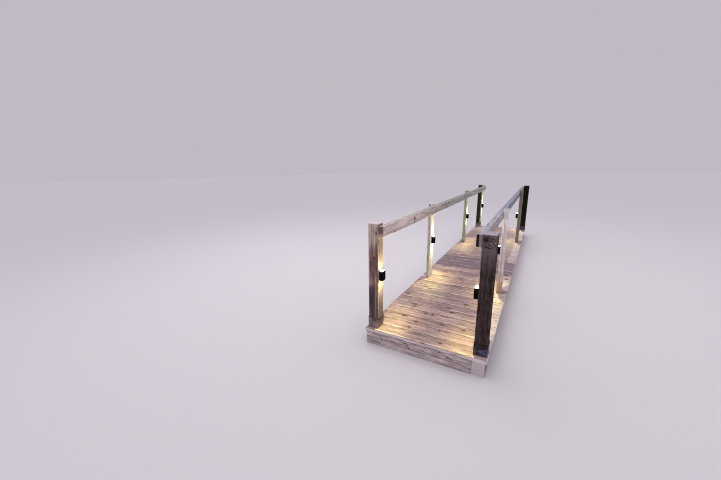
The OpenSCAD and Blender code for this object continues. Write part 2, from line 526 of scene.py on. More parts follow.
def crack_mask(x, z, place, from_x, from_z, to_x, to_z):
    """A thin crack between two points of an upright face."""
    length = math.hypot(to_x - from_x, to_z - from_z)
    cos, sin = (to_x - from_x) / length, (to_z - from_z) / length
    dx, dz = x - from_x, z - from_z
    along = dx * cos + dz * sin
    bent = dz * cos - dx * sin + ramp(cloud(place, 45.0), 0.2, 0.8, -0.006, 0.006, "LINEAR")
    inside = ramp(along, 0.0, length * 0.15) * ramp(along, length * 0.7, length, 1.0, 0.0)
    return ramp(calc("ABSOLUTE", bent), 0.001, 0.0065, 0.9, 0.0) * inside


def fan(x, z, from_x, from_z):
    """Grain that fans out to one side of a knot on an upright face."""
    dx, dz = x - from_x, z - from_z
    swept = join(calc("ARCTAN2", dz, dx) * 2.6, spread(dx, dz) * 22.0, 0.0)
    return ramp(cloud(swept, 1.6, 3.0, 0.6), 0.38, 0.6, 0.4, 1.5)


def timber(name, tones, *, ring=0.3, fibre=0.25, ring_width=0.005, tone=0.5, dark=0.6, knots=0.4,
           knot_radius=0.011, knot_colour=(0.10, 0.055, 0.035), halo_colour=None, cells=(0.34, 0.12),
           spots=(), spots_in=(1.0, 1.0, 0.0), flat=False, streak=0.2, gleam=0.0, fine=0.0, mottle=0.0,
           edge=((0.75, 0.66, 0.55), 0.35), end=None, end_split=None, rough=0.62, shine=0.35,
           bump=0.0006, patch=((0.30, 0.28, 0.28), 0.25), splash=(0.1, 0.1, MUD, 0.3), less_on_inner_side=None,
           silver=None, far_sky_tint_on_top=None, blotch=None, crown=None, light_band=None, edge_strip=None,
           fresh=None, far=None, side_light_and_shade=None, back=None, rim_highlight=None, swirl=None, shadow_line=None, cracks=(),
           boards=None):
    """A timber finish: rings, fibre, knots, worn edges, end grain and dust, and, where a finish asks,
    painted light and shade: sky-lit tops, highlights, side faces in lamp light and shade, light bands and a
    shadow line.

    tones is a pale and a deep colour, or the name that two settings begin with. Other colours come with
    their share, and those that lie in a band, along x, y or z, begin with its low and high limits. The
    splash begins with its height and how far below that it fades in.
    """
    material, tree, shader = new_material(name)
    if isinstance(tones, str):
        settings = bpy.context.scene.bridge_timber
        tones = getattr(settings, tones + "_pale"), getattr(settings, tones + "_deep")
    pale, deep = tones
    grain_place = attribute(tree, "grain", "Vector")
    place = place_of(tree)
    knot = use(tree, "knots", {
        "Place": grain_place if flat else round_pith(grain_place), "Cell along": cells[0],
        "Cell across": cells[1], "Radius": knot_radius, "Share": knots})
    dust = use(tree, "dust", {"Place": place, "Splash height": splash[0], "Splash fade": splash[1]})
    x, y, z = parts(place)
    inward, ahead, up = parts(outputs(add(tree, "ShaderNodeNewGeometry"))["Normal"])
    core, halo = knot["Core"], knot["Halo"]
    if spots:
        ragged = ramp(cloud(place, 85.0), 0.3, 0.7, -0.45, 0.45, "LINEAR")
        near = seen_knots(place, spots, spots_in) + ragged
        core = calc("MAXIMUM", core, ramp(near, 0.7, 1.15, 1.0, 0.0))
        halo = calc("MAXIMUM", halo, ramp(near, 0.9, 3.2, 1.0, 0.0))
    grain = use(tree, "grain", {"Place": grain_place, "Ring width": ring_width, "Push": halo * 0.02})
    own = use(tree, "piece", {"Place": grain_place})["Chance"] * tone
    slow = grain["Cloud"] * (1.0 - tone * 0.5)
    colour = mix(calc("ADD", own, slow * 0.5, clamp=True), pale, deep)

    def lay(mask, over, mode="MIX"):
        """Lays a colour over what is there, as far as a mask says."""
        nonlocal colour
        colour = mix(mask, colour, over, mode)

    darker = shade(deep, dark)
    lay(grain["Ring"] * ring, darker)
    streaks = ramp(grain["Streak"], 0.48, 0.64)
    lay(streaks * streak, darker)
    if mottle:
        cloudy = ramp(grain["Mottle"], 0.32, 0.68, 1.0 - mottle, 1.0 + mottle, "LINEAR")
        lay(1.0, grey(cloudy), "MULTIPLY")
    if blotch:
        drawn = cloud(vector("MULTIPLY", place, (34.0, 34.0, 2.4)), 1.0)
        lay(ramp(drawn, 0.46, 0.58) * blotch[1], blotch[0])
    if gleam:
        lay(ramp(grain["Streak"], 0.46, 0.34) * gleam, tuple(min(1.0, c * 1.3) for c in pale))
    if fresh:
        low, high, over, share = fresh
        lay(ramp(y, low, high) * share, mix(ramp(grain["Streak"], 0.42, 0.7) * 0.6, over, deep))
    # A band across x in a colour that stands for light falling on it: painted light.
    if light_band:
        low, high, over, share = light_band
        light_band_mask = ramp(x, low, high)
        lay(light_band_mask * share, over)
    if edge_strip:
        low, high, over, share = edge_strip
        lay(ramp(x, low, high) * ramp(grain["Mottle"], 0.3, 0.6) * share, over)
    if boards:
        pitch = board_pitch()
        first, last, over, share = boards["grey"]
        lay(calc("GREATER_THAN", y, DECK_START + first * pitch)
            * calc("LESS_THAN", y, DECK_START + last * pitch) * share, over)
    light = ramp(grain["Fibre"], 0.3, 0.7, 1.0 - fibre * 0.5, 1.0 + fibre * 0.5, "LINEAR")
    lay(1.0, grey(light), "MULTIPLY")
    if crown:
        low, high, over, share = crown
        lay(ramp(z + cloud(place, 30.0, 3.0) * 0.05, low, high) * share, over)
    if swirl:
        lay(ramp(z, swirl[1] - 0.07, swirl[1] - 0.05), grey(fan(x, z, *swirl)), "MULTIPLY")
    lay(halo * 0.5, halo_colour or shade(deep, 0.72))
    lay(core * 0.92, knot_colour)
    lay(dust["Patch"] * patch[1], patch[0])
    splashed = dust["Splash"] * splash[3]
    # Less of the darkening towards the foot on faces turned to +x and past the given x band.
    if less_on_inner_side:
        splashed = splashed * ramp(inward, 0.3, 0.8, 1.0, 0.25) * ramp(x, *less_on_inner_side, 1.0, 0.3)
    lay(splashed, splash[2])
    # A painted shadow band from the given height to the top of the face, under the overhanging edge of the
    # board above.
    if shadow_line:
        lay(ramp(z, shadow_line, shadow_line + 0.004, 0.0, 0.75), shade(deep, 0.15))
    for crack in cracks:
        lay(crack_mask(x, z, place, *crack), shade(deep, 0.12))
    if boards:
        part = calc("FRACT", (y - DECK_START) / pitch)
        gap = calc("MINIMUM", part, 1.0 - part) * pitch
        dirt = ramp(gap + cloud(place, 25.0, 3.0) * -0.008, -0.004, boards["joint"], 1.0, 0.0)
        dirt = dirt * ramp(up, 0.2, 0.6) * ramp(light_band_mask, 0.0, 1.0, 1.0, 0.4)
        lay(ramp(up, 0.6, 0.2, 0.0, 0.8), boards["side"])
        lit = ramp(calc("ABSOLUTE", part * pitch - 0.017), 0.004, 0.012, 1.0, 0.0)
        lay(lit * ramp(cloud(place, 9.0, 3.0), 0.4, 0.6, 0.1, 0.65), boards["lit"])
        lay(dirt * boards["grime"], shade(deep, 0.3))
    # Faces turned along x in a colour of their own: painted lamp light where it is lighter, painted shade
    # where it is darker.
    if side_light_and_shade:
        side_on = ramp(calc("ABSOLUTE", inward), 0.3, 0.8)
        lay(side_on * side_light_and_shade[1], mix(streaks * 0.5, side_light_and_shade[0], deep))
    # Faces turned to +y, and those turned outward, in a colour of their own; on the rear corner posts these
    # are the faces left out of the painted shade.
    if back:
        over, share, outward = back
        away = calc("MAXIMUM", ramp(ahead, 0.3, 0.8), ramp(inward * outward, 0.3, 0.8))
        lay(away * share, mix(streaks * 0.5, over, deep))
    # Colour multiplied along y towards the far end: painted shade and sky tint.
    if far:
        low, high, over = far
        lay(ramp(y, low, high), over, "MULTIPLY")
    # Up faces greyed, as weathered timber is, and painted paler as sky light falls on them; towards the far
    # end this painted sky tint turns to another colour.
    if silver:
        over, share = silver
        if far_sky_tint_on_top:
            low, high, beyond = far_sky_tint_on_top
            over = mix(ramp(y, low, high), over, beyond)
        lay(ramp(up, 0.3, 0.9) * share * ramp(grain["Streak"], 0.3, 0.7, 1.0, 0.6), over)
    if fine:
        lay(1.0, grey(1.0 - ramp(grain["Fine"], 0.47, 0.66) * fine), "MULTIPLY")
    # A painted highlight on faces near the given low and high heights, kept off the up faces.
    if rim_highlight:
        low, high, width, over, share = rim_highlight
        highlight_band = calc("MAXIMUM", ramp(z, low + width, low), ramp(z, high - width, high))
        highlight_band = highlight_band * ramp(grain["Mottle"], 0.35, 0.55, 0.4, 1.0) * ramp(up, 0.5, 0.9, 1.0, 0.0)
        lay(highlight_band * share, over)
    lay(attribute(tree, "arris") * ramp(cloud(place, 30.0, 3.0), 0.35, 0.6) * edge[1], edge[0])
    cut = attribute(tree, "end")
    end = end or shade(deep, 0.6)
    end_colour = mix(grain["Ring"] * 0.55, end, shade(end, 0.5))
    if end_split:
        across, low, high, over = end_split
        end_colour = mix(ramp({"X": x, "Z": z}[across], low, high), end_colour, over)
    lay(cut * 0.97, end_colour)
    dull = ramp(grain["Fibre"], 0.2, 0.8, rough - 0.08, rough + 0.12, "LINEAR") + cut * 0.12
    height = grain["Ring"] * -0.35 + grain["Fibre"] * 0.7 + streaks * -0.5 + knot["Ripple"] * 0.15
    surface(shader, colour, dull, height, 0.8, bump, shine)
    return material


def metal(name, colour, dull, rough, metallic=1.0, spangle=90.0, rust=0.1, grime=None, shine=0.5):
    """A metal finish with cloudy crystals, scuffs and a little staining."""
    material, tree, shader = new_material(name)
    place = place_of(tree)
    dust = use(tree, "dust", {"Place": place, "Size": 0.05})
    crystals = add(tree, "ShaderNodeTexVoronoi", {"Vector": place, "Scale": spangle},
                   distance="MANHATTAN")
    flake = parts(outputs(crystals)["Color"], "Color")[0]
    tone = mix(flake, colour, dull)
    tone = mix(dust["Patch"] * 0.5, tone, dull)
    tone = mix(dust["Speck"] * rust, tone, RUST)
    if grime:
        low, high, over = grime
        ragged = parts(place)[2] + ramp(cloud(place, 38.0, 4.0), 0.3, 0.7, -0.035, 0.035, "LINEAR")
        tone = mix(ramp(ragged, low, high), tone, over)
    worn = cloud(place, 160.0, 3.0, 0.6)
    dull = ramp(worn, 0.3, 0.7, rough - 0.1, rough + 0.12, "LINEAR") + flake * 0.1
    surface(shader, tone, dull, worn, 0.6, 0.0002, shine)
    shader.inputs["Metallic"].default_value = metallic
    return material


def glowing_glass(name, colour, tint):
    """Frosted glass, lit from inside."""
    material, tree, shader = new_material(name)
    frost = cloud(place_of(tree), 700.0)
    put(shader.inputs["Emission Color"], mix(ramp(frost, 0.35, 0.65), shade(colour, 0.85), colour))
    shader.inputs["Emission Strength"].default_value = bpy.context.scene.bridge_lamps.glass_strength
    shader.inputs["Base Color"].default_value = rgba(tint)
    put(shader.inputs["Roughness"], ramp(frost, 0.3, 0.7, 0.35, 0.6, "LINEAR"))
    return material


# Geometry nodes

def repeat_tree(name, sizes, build):
    """A geometry node tree that ends in real geometry with its finish."""
    tree = bpy.data.node_groups.new(name, "GeometryNodeTree")
    kinds = {float: "Float", int: "Int", tuple: "Vector"}
    sockets = {"Geometry": "Geometry"}
    sockets.update({label: kinds[type(size)] for label, size in sizes.items()})
    sockets.update({"Copied": "Object", "Finish": "Material"})
    for label, kind in sockets.items():
        socket = tree.interface.new_socket(label, in_out="INPUT", socket_type="NodeSocket" + kind)
        if label in sizes:
            socket.default_value = sizes[label]
    tree.interface.new_socket("Geometry", in_out="OUTPUT", socket_type="NodeSocketGeometry")
    given = outputs(tree.nodes.new("NodeGroupInput"))
    copied = add(tree, "GeometryNodeObjectInfo", {"Object": given["Copied"]}, transform_space="ORIGINAL")
    placed = build(tree, given, outputs(copied)["Geometry"])
    real = add(tree, "GeometryNodeRealizeInstances", {"Geometry": placed})
    painted = add(tree, "GeometryNodeSetMaterial", {"Geometry": Value(real.outputs[0]),
                                                    "Material": given["Finish"]})
    add(tree, "NodeGroupOutput", {"Geometry": Value(painted.outputs[0])})
    return tree


def run_tree(name, tree, values, points):
    """Runs a geometry node tree on a mesh of points and keeps its result as a plain mesh."""
    mesh = bpy.data.meshes.new(name)
    mesh.from_pydata([tuple(p) for p in points], [], [])
    obj = show(name, mesh)
    modifier = obj.modifiers.new(tree.name, "NODES")
    modifier.node_group = tree
    for item in tree.interface.items_tree:
        if item.in_out == "INPUT" and item.name in values:
            modifier[item.identifier] = values[item.name]
    return apply_all(obj)


def chance(tree, low, high, seed):
    """A random number for each copy in a geometry node tree."""
    node = add(tree, "FunctionNodeRandomValue", {"Seed": seed}, data_type="FLOAT")
    limits = [s for s in node.inputs if s.type == "VALUE"]
    for socket, value in zip(limits, (low, high)):
        put(socket, value)
    return Value(next(s for s in node.outputs if s.type == "VALUE"))


def on_points(tree, kind, **inputs):
    """A node that copies something onto points, or moves what was copied."""
    return Value(add(tree, "GeometryNode" + kind, {
        label.replace("_", " "): value for label, value in inputs.items()}).outputs[0])


def lay_boards(tree, given, board):
    """Boards on points, each turned, slid and raised a little."""
    skew, slide, seed = given["Skew"], given["Slide"], given["Seed"]
    turn = join(0.0, 0.0, chance(tree, skew * -1.0, skew, seed + 1.0))
    placed = on_points(tree, "InstanceOnPoints", Points=given["Geometry"], Instance=board, Rotation=turn)
    shift = join(chance(tree, slide * -1.0, slide, seed + 2.0), 0.0,
                 chance(tree, 0.0, given["Lift"], seed + 3.0))
    return on_points(tree, "TranslateInstances", Instances=placed, Translation=shift)


def drive_screws(tree, given, head):
    """Screws on points, all facing one way, each turned on its own axis as it happens."""
    placed = on_points(tree, "InstanceOnPoints", Points=given["Geometry"], Instance=head,
                       Rotation=given["Turn"])
    own = join(0.0, 0.0, chance(tree, 0.0, math.tau, given["Seed"]))
    return on_points(tree, "RotateInstances", Instances=placed, Rotation=own, Local_Space=True)


# Settings

def metres(name, about, default, low=0.0, high=1.0):
    return FloatProperty(name=name, description=about, default=default, min=low, max=high, unit="LENGTH")


def degrees(name, about, default, low=-180.0, high=180.0):
    return FloatProperty(name=name, description=about, default=math.radians(default),
                         min=math.radians(low), max=math.radians(high), unit="ROTATION")


def amount(name, about, default, high=1000.0, unit="NONE"):
    return FloatProperty(name=name, description=about, default=default, min=0.0, max=high, unit=unit)


def watts(name, about, default):
    return amount(name, about, default, unit="POWER")


def paint(name, about, default):
    return FloatVectorProperty(name=name, description=about, default=default, subtype="COLOR",
                               min=0.0, max=1.0)


class TimberSettings(bpy.types.PropertyGroup):
    rounding: metres("Edge rounding", "Rounding of the timber's edges", 0.0014, 0.0002, 0.005)
    wear_depth: metres("Edge wear", "How far worn edges are knocked back", 0.0012, 0.0, 0.005)
    wander: metres("Wander", "How far sawn faces leave the straight", 0.0008, 0.0, 0.003)
    deck_pale: paint("Deck, pale", "Palest deck board", (0.69, 0.53, 0.46))
    deck_deep: paint("Deck, deep", "Deepest deck board", (0.405, 0.295, 0.275))
    rail_pale: paint("Rail, pale", "Handrail's pale tone", (0.63, 0.60, 0.57))
    rail_deep: paint("Rail, deep", "Handrail's deep tone", (0.40, 0.385, 0.38))
    corner_pale: paint("Corner post, pale", "Corner post's pale tone", (0.108, 0.078, 0.075))
    corner_deep: paint("Corner post, deep", "Corner post's deep tone", (0.040, 0.031, 0.031))
    # The front left corner post's tones: painted lighter than the other corner posts, as it stood in more
    # light.
    faded_pale: paint("Faded post, pale", "Faded corner post's pale tone", (0.46, 0.335, 0.31))
    faded_deep: paint("Faded post, deep", "Faded corner post's deep tone", (0.22, 0.138, 0.125))


class DeckSettings(bpy.types.PropertyGroup):
    boards: IntProperty(name="Boards", description="Number of boards from end to end", default=39, min=2)
    lift: metres("Unevenness", "Most that a board stands above its neighbour", 0.0006, 0.0, 0.003)
    skew: degrees("Skew", "Most that a board is turned on the deck", 0.05, 0.0, 0.5)
    slide: metres("Ragged ends", "Most that a board's end stands out of line", 0.0016, 0.0, 0.005)
    seed: IntProperty(name="Seed", description="Draws another set of boards", default=7)


class FixingSettings(bpy.types.PropertyGroup):
    deck_head: metres("Deck screw", "Diameter of a deck screw's head", 0.009, 0.004, 0.02)
    spread: metres("Screw spread", "Between the two screws across a board", 0.086, 0.02, 0.12)
    coach_head: metres("Coach screw", "Across the flats of a coach screw", 0.017, 0.01, 0.03)


class LampSettings(bpy.types.PropertyGroup):
    glow: paint("Glow", "Colour of the lamps' light", (1.0, 0.925, 0.36))
    far_glow: paint("Far glow", "Colour of the far lamps' light", (1.0, 1.0, 0.85))
    face_glow: paint("Glow on posts", "Colour of the light on the posts", (1.0, 0.95, 0.58))
    glass_strength: amount("Glass brightness", "How brightly the glass shines", 12.0)
    beam_power: watts("Beam power", "Power of each beam", 8.5)
    beam_angle: degrees("Beam angle", "Full angle of each beam along the bridge", 130, 12, 177)
    beam_share: amount("Beam share", "Width of a beam's pool against its length", 0.49, 1.0)
    beam_lean: degrees("Beam lean", "Lean of the lower beams along the bridge", 6)
    face_power: watts("Face power", "Power of the light on a post's inner face", 2.3)
    face_reach: metres("Face reach", "How far the face's light stands off the post", 0.13, 0.01)
    face_aim: degrees("Face aim", "Turn of the face's light away from the upright", 50)
    face_angle: degrees("Face angle", "Full angle of the light on a post's face", 84, 12, 177)


class StageSettings(bpy.types.PropertyGroup):
    floor_colour: paint("Floor", "Colour of the plain floor", (0.74, 0.745, 0.735))
    sky_colour: paint("Sky", "Colour of the light all round", (0.97, 0.90, 1.0))
    sky_strength: amount("Soft light", "Strength of the light all round", 0.58)
    key_power: watts("Overhead light", "Power of the softbox overhead", 62.0)
    front_power: watts("Front light", "Power of the softbox at the front", 52.0)
    camera_place: FloatVectorProperty(name="Camera", description="Where the camera stands",
                                      default=(0.7549, -5.0297, 1.6353), subtype="TRANSLATION")
    heading: degrees("Heading", "Camera's turn to the left of the bridge's length", 30.58)
    dip: degrees("Dip", "Camera's tilt below the level", 13.745)
    roll: degrees("Roll", "Camera's roll", -0.9705)
    lens: FloatProperty(name="Lens", description="Focal length on a 36 mm sensor",
                        default=15.21, min=5, unit="CAMERA")


# Knots on the walking face: across, along from the front end, radius
DECK_KNOTS = (
    (-0.31, 0.39, 0.011), (-0.16, 0.33, 0.010), (-0.18, 0.20, 0.008), (0.075, 0.39, 0.011),
    (0.09, 0.28, 0.008), (0.15, 0.075, 0.010), (-0.13, 0.54, 0.010), (-0.06, 0.54, 0.009),
    (-0.306, 0.70, 0.013), (-0.237, 0.73, 0.012), (-0.29, 0.85, 0.012), (0.05, 0.76, 0.013),
    (0.10, 0.68, 0.011), (-0.29, 1.18, 0.012), (-0.36, 1.23, 0.010), (-0.22, 1.30, 0.010),
    (-0.25, 1.70, 0.019), (-0.04, 1.70, 0.011), (-0.295, 1.86, 0.019), (-0.16, 1.85, 0.010),
    (-0.24, 2.86, 0.018), (0.47, 2.10, 0.020),
)
KNOT_GROWTH = 1.25       # how much larger the deck's knots are drawn than they measure

# Knots on the corner posts' front and inner faces: place and radius
POST_KNOTS = ((0.448, -2.73, 1.098, 0.019), (0.492, -2.73, 0.62, 0.009), (-0.468, -2.73, 0.83, 0.010),
              (-0.425, -2.69, 1.075, 0.022))

# Cracks on the risers' faces: from and to, each across and up
RISER_CRACKS = ((-0.392, 0.112, -0.358, 0.058), (-0.155, 0.104, -0.120, 0.098),
                (-0.122, 0.098, -0.098, 0.050), (0.22, 0.080, 0.30, 0.070))

# Lamps that shine otherwise than the rest: shares of a beam's power and of the power of the light on the
# post's face, and how much of the glow is the far one
LAMP_LIGHT = {"lamp_left_3": (0.95, 1.0, 0.2), "lamp_left_4": (0.4, 2.5, 0.9),
              "lamp_right_3": (0.62, 0.8, 0.5), "lamp_right_4": (0.75, 0.8, 0.6)}
PLAIN_LIGHT = (1.0, 1.0, 0.0)
BEAM_GAP = 0.008         # how far outside the lamp a beam starts
SOURCE_RADIUS = 0.006    # size of the source in a lamp, which softens its shadows

# Where screws sit: along and up from the middle of a rail's joint, and along from the middle of an
# intermediate post and up from the ground
RAIL_SCREWS = ((-0.024, 0.026), (0.024, -0.026))
COACH_SCREWS = ((-0.022, 0.038), (0.022, 0.092))

# What like timbers share
RAIL = {"ring": 0.35, "tone": 0.4, "knots": 0.3, "streak": 0.6, "gleam": 0.3, "cells": (0.5, 0.09)}
MID_POST = {"tone": 0.4, "knots": 0.35, "gleam": 0.3}
CORNER_POST = {"fibre": 0.5, "tone": 0.3, "knots": 0.3, "bump": 0.0012}
FRONT_POST = {**CORNER_POST, "rough": 0.74, "spots": POST_KNOTS, "spots_in": (1.0, 0.6, 1.0)}
# The rear corner posts' dark tones stand for shade: painted shade on the faces that look to the front and,
# on the right one, inward, while the faces turned away take the back colour; their tops are greyed and
# painted sky-lit.
REAR_POST = {**CORNER_POST, "rough": 0.78, "streak": 0.5, "patch": ((0.07, 0.07, 0.05), 0.35),
             "end": (0.20, 0.19, 0.17), "silver": ((0.26, 0.26, 0.25), 0.6)}

FINISHES = {
    "deck": partial(
        timber, "Deck softwood", "deck", ring=0.6, tone=1.0, knots=0.14, dark=0.42, knot_radius=0.012,
        knot_colour=(0.06, 0.025, 0.02), halo_colour=(0.25, 0.125, 0.11), gleam=0.35, fine=0.5,
        mottle=0.2, patch=((0.28, 0.20, 0.22), 0.3), shine=0.8, rough=0.48, flat=True,
        ring_width=0.006, fibre=0.35, spots_in=(0.7, 1.0, 0.0),
        spots=[(x, y + DECK_START, 0.0, size * KNOT_GROWTH) for x, y, size in DECK_KNOTS],
        # The boards' cut ends, along the deck's left and right edges, are pale: partly their own colour,
        # partly painted light. The strip along the right edge is painted lighter, as lit.
        end=(0.84, 0.79, 0.77), edge=((0.72, 0.60, 0.54), 0.35),
        light_band=(0.405, 0.445, (0.72, 0.64, 0.60), 0.65),
        boards={"grey": (15, 19, (0.22, 0.165, 0.19), 0.82), "joint": 0.0075, "grime": 0.95,
                "lit": (0.92, 0.78, 0.72), "side": (0.65, 0.575, 0.58)}),
    # The rails' tops are greyed and painted sky-lit, shifting in tint towards the far end; the left rail's
    # top and bottom edges carry a painted highlight.
    "rail left": partial(
        timber, "Handrail softwood", "rail", **RAIL, fine=0.35, mottle=0.12, end=(0.19, 0.135, 0.11),
        end_split=("Z", 1.066, 1.046, (0.40, 0.29, 0.235)), silver=((0.48, 0.48, 0.42), 0.95),
        far_sky_tint_on_top=(-2.1, -0.6, (0.30, 0.34, 0.29)), fresh=(-0.3, -2.1, (0.92, 0.82, 0.74), 0.75),
        far=(-0.9, 0.6, (0.94, 1.03, 1.0)), rim_highlight=(1.023, 1.123, 0.014, (0.68, 0.65, 0.60), 0.85)),
    # The right rail is painted darker and bluer from y = -0.8 on, painted shade, and its rounded edges are
    # painted pale as highlights.
    "rail right": partial(
        timber, "Handrail softwood, right", "rail", **RAIL, fine=0.45, mottle=0.15,
        end=(0.012, 0.008, 0.008), end_split=("X", 0.390, 0.400, (0.30, 0.265, 0.28)),
        silver=((0.44, 0.45, 0.48), 0.92), far_sky_tint_on_top=(-2.1, -0.6, (0.30, 0.36, 0.42)),
        far=(-1.1, -0.8, (0.62, 0.70, 0.83)), edge=((0.80, 0.76, 0.74), 0.7)),
    # Front left corner post: its tones painted lighter, as lit; its inner face painted in lamp light, a
    # warm painted light band near the inner edge, a painted highlight along the top edge and its top
    # painted pale as lit from above. It is darker towards the foot, up to 0.54 m, less so on the inner
    # face.
    "post front left": partial(
        timber, "Corner post, sawn and faded", "faded", **FRONT_POST, streak=0.6, gleam=0.6,
        fine=0.45, mottle=0.4, edge=((0.60, 0.52, 0.50), 0.75), patch=((0.14, 0.10, 0.11), 0.5),
        splash=(0.54, 0.07, (0.076, 0.069, 0.066), 0.85), less_on_inner_side=(-0.478, -0.450),
        end=(0.80, 0.75, 0.74), silver=((0.80, 0.75, 0.74), 0.9), knot_colour=(0.05, 0.03, 0.03),
        blotch=((0.14, 0.075, 0.070), 0.6), crown=(0.86, 1.10, (0.62, 0.53, 0.47), 0.8),
        light_band=(-0.452, -0.440, (0.19, 0.115, 0.06), 0.65), side_light_and_shade=((0.37, 0.305, 0.245), 0.8),
        edge_strip=(-0.500, -0.518, (0.46, 0.42, 0.41), 0.7),
        rim_highlight=(-1.0, 1.143, 0.010, (0.66, 0.56, 0.54), 0.8)),
    # Front right corner post: its outer face painted darker, as in shade, and its top face and top edge
    # painted pale, as lit from above.
    "post front right": partial(
        timber, "Corner post, sawn and brown", "corner", **FRONT_POST, streak=0.35, gleam=0.15,
        fine=0.35, mottle=0.35, shine=0.2, edge=((0.30, 0.25, 0.25), 0.4), end=(0.52, 0.47, 0.51),
        patch=((0.125, 0.085, 0.095), 0.3), silver=((0.80, 0.77, 0.83), 0.95),
        side_light_and_shade=((0.042, 0.026, 0.022), 0.7), knot_colour=(0.018, 0.014, 0.014),
        halo_colour=(0.075, 0.055, 0.058), crown=(0.84, 1.06, (0.25, 0.21, 0.21), 0.55),
        swirl=(0.447, 1.099), rim_highlight=(-1.0, 1.143, 0.014, (0.75, 0.70, 0.76), 1.0),
        cracks=((0.436, 1.050, 0.500, 1.034),)),
    # Rear left corner post: its inner face and the band near its inner edge painted in lamp light.
    "post rear left": partial(
        timber, "Corner post, sawn and lit", ((0.085, 0.082, 0.045), (0.03, 0.03, 0.017)), **REAR_POST,
        edge=((0.20, 0.18, 0.14), 0.4), shine=0.1, side_light_and_shade=((0.42, 0.40, 0.33), 0.95),
        back=((0.12, 0.10, 0.075), 0.85, -1.0), light_band=(-0.450, -0.441, (0.85, 0.82, 0.66), 0.55)),
    "post rear right": partial(
        timber, "Corner post, sawn and damp", ((0.040, 0.045, 0.027), (0.015, 0.017, 0.010)),
        **REAR_POST, edge=((0.16, 0.15, 0.12), 0.4), shine=0.05, knot_colour=(0.012, 0.010, 0.008),
        halo_colour=(0.03, 0.03, 0.02), back=((0.12, 0.10, 0.075), 0.85, 1.0)),
    # The intermediate posts are one softwood in four tones, each partly painted by how the light fell on
    # that post. The front left one's inner face and a band near its inner edge are painted in lamp light,
    # as is the rear left one's inner face; the front right one is browner towards the foot.
    "mid post front left": partial(
        timber, "Intermediate post softwood", ((0.58, 0.575, 0.42), (0.41, 0.405, 0.30)), **MID_POST,
        streak=0.5, end=(0.68, 0.73, 0.68), fine=0.35, silver=((0.38, 0.44, 0.39), 0.9),
        side_light_and_shade=((0.80, 0.75, 0.70), 0.9), light_band=(-0.446, -0.440, (0.95, 0.91, 0.80), 0.85),
        edge_strip=(-0.462, -0.470, (0.80, 0.78, 0.70), 0.6)),
    "mid post front right": partial(
        timber, "Intermediate post softwood, pale", ((0.90, 0.86, 0.81), (0.69, 0.65, 0.61)),
        **MID_POST, streak=0.55, end=(0.50, 0.44, 0.40), fine=0.3,
        splash=(0.42, 0.25, (0.48, 0.355, 0.255), 0.95), crown=(0.86, 1.04, (0.97, 0.95, 0.95), 0.7)),
    "mid post rear left": partial(
        timber, "Intermediate post softwood, olive", ((0.50, 0.52, 0.36), (0.34, 0.355, 0.25)),
        **MID_POST, streak=0.5, end=(0.42, 0.42, 0.39), fine=0.3, silver=((0.36, 0.36, 0.40), 0.9),
        side_light_and_shade=((0.53, 0.52, 0.47), 0.85)),
    "mid post rear right": partial(
        timber, "Intermediate post softwood, brown", ((0.32, 0.305, 0.22), (0.215, 0.195, 0.14)),
        **MID_POST, streak=0.4, end=(0.25, 0.21, 0.17)),
    "frame": partial(
        timber, "Frame softwood", ((0.50, 0.40, 0.32), (0.36, 0.27, 0.21)), tone=0.6, knots=0.5,
        splash=(0.1, 0.1, MUD, 0.6), streak=0.4),
    # The riser's top carries a painted shadow band under the deck's front board.
    "riser": partial(
        timber, "Riser softwood, greyed", ((0.74, 0.655, 0.64), (0.52, 0.45, 0.445)), ring=0.35,
        tone=0.4, knots=0.1, knot_radius=0.012, streak=0.4, gleam=0.5, shadow_line=0.117, fine=0.45,
        mottle=0.2, cracks=RISER_CRACKS),
    "block": partial(
        timber, "Corner block softwood", ((0.48, 0.41, 0.40), (0.31, 0.26, 0.26)), tone=0.3, knots=0.2,
        end=(0.56, 0.51, 0.52), ring_width=0.016),
    "shoe": partial(
        metal, "Galvanised steel", (0.21, 0.195, 0.27), (0.07, 0.06, 0.085), 0.42, metallic=0.7,
        spangle=60.0, grime=(0.20, 0.25, (0.055, 0.048, 0.048))),
    "shoe muddy": partial(
        metal, "Galvanised steel, muddy", (0.41, 0.34, 0.33), (0.25, 0.20, 0.19), 0.6, metallic=0.25,
        spangle=60.0, grime=(0.19, 0.24, (0.145, 0.11, 0.105))),
    "lamp": partial(
        metal, "Black powder coat", (0.005, 0.003, 0.002), (0.009, 0.006, 0.005), 0.6, metallic=0.0,
        spangle=2400.0, rust=0.02, shine=0.1),
    "screw": partial(
        metal, "Zinc screw", (0.42, 0.38, 0.30), (0.22, 0.20, 0.17), 0.4, spangle=900.0, rust=0.4),
    "coach": partial(
        metal, "Dull bolt steel", (0.28, 0.28, 0.29), (0.14, 0.14, 0.15), 0.45, spangle=500.0, rust=0.5),
    "glass": partial(glowing_glass, "Frosted lamp glass", (1.0, 0.90, 0.58), (1.0, 0.93, 0.75)),
}


@cache
def finish(name):
    """A finish by name, made the first time that it is asked for."""
    return FINISHES[name]()


# Pieces

def first_board():
    """The frame's first deck board as a bmesh."""
    bm = merged("deck_boards_front")
    first = set(min(islands(bm), key=lambda verts: verts[0].co.y))
    bmesh.ops.delete(bm, geom=[v for v in bm.verts if v not in first], context="VERTS")
    return bm


def board_width():
    bm = first_board()
    across = [v.co.y for v in bm.verts]
    bm.free()
    return max(across) - min(across)


BOARD_WIDTH = board_width()


def board_pitch():
    """From one deck board to the next."""
    return (DECK_END - DECK_START - BOARD_WIDTH) / (bpy.context.scene.bridge_deck.boards - 1)


def board_middle(k):
    return DECK_START + BOARD_WIDTH / 2 + k * board_pitch()


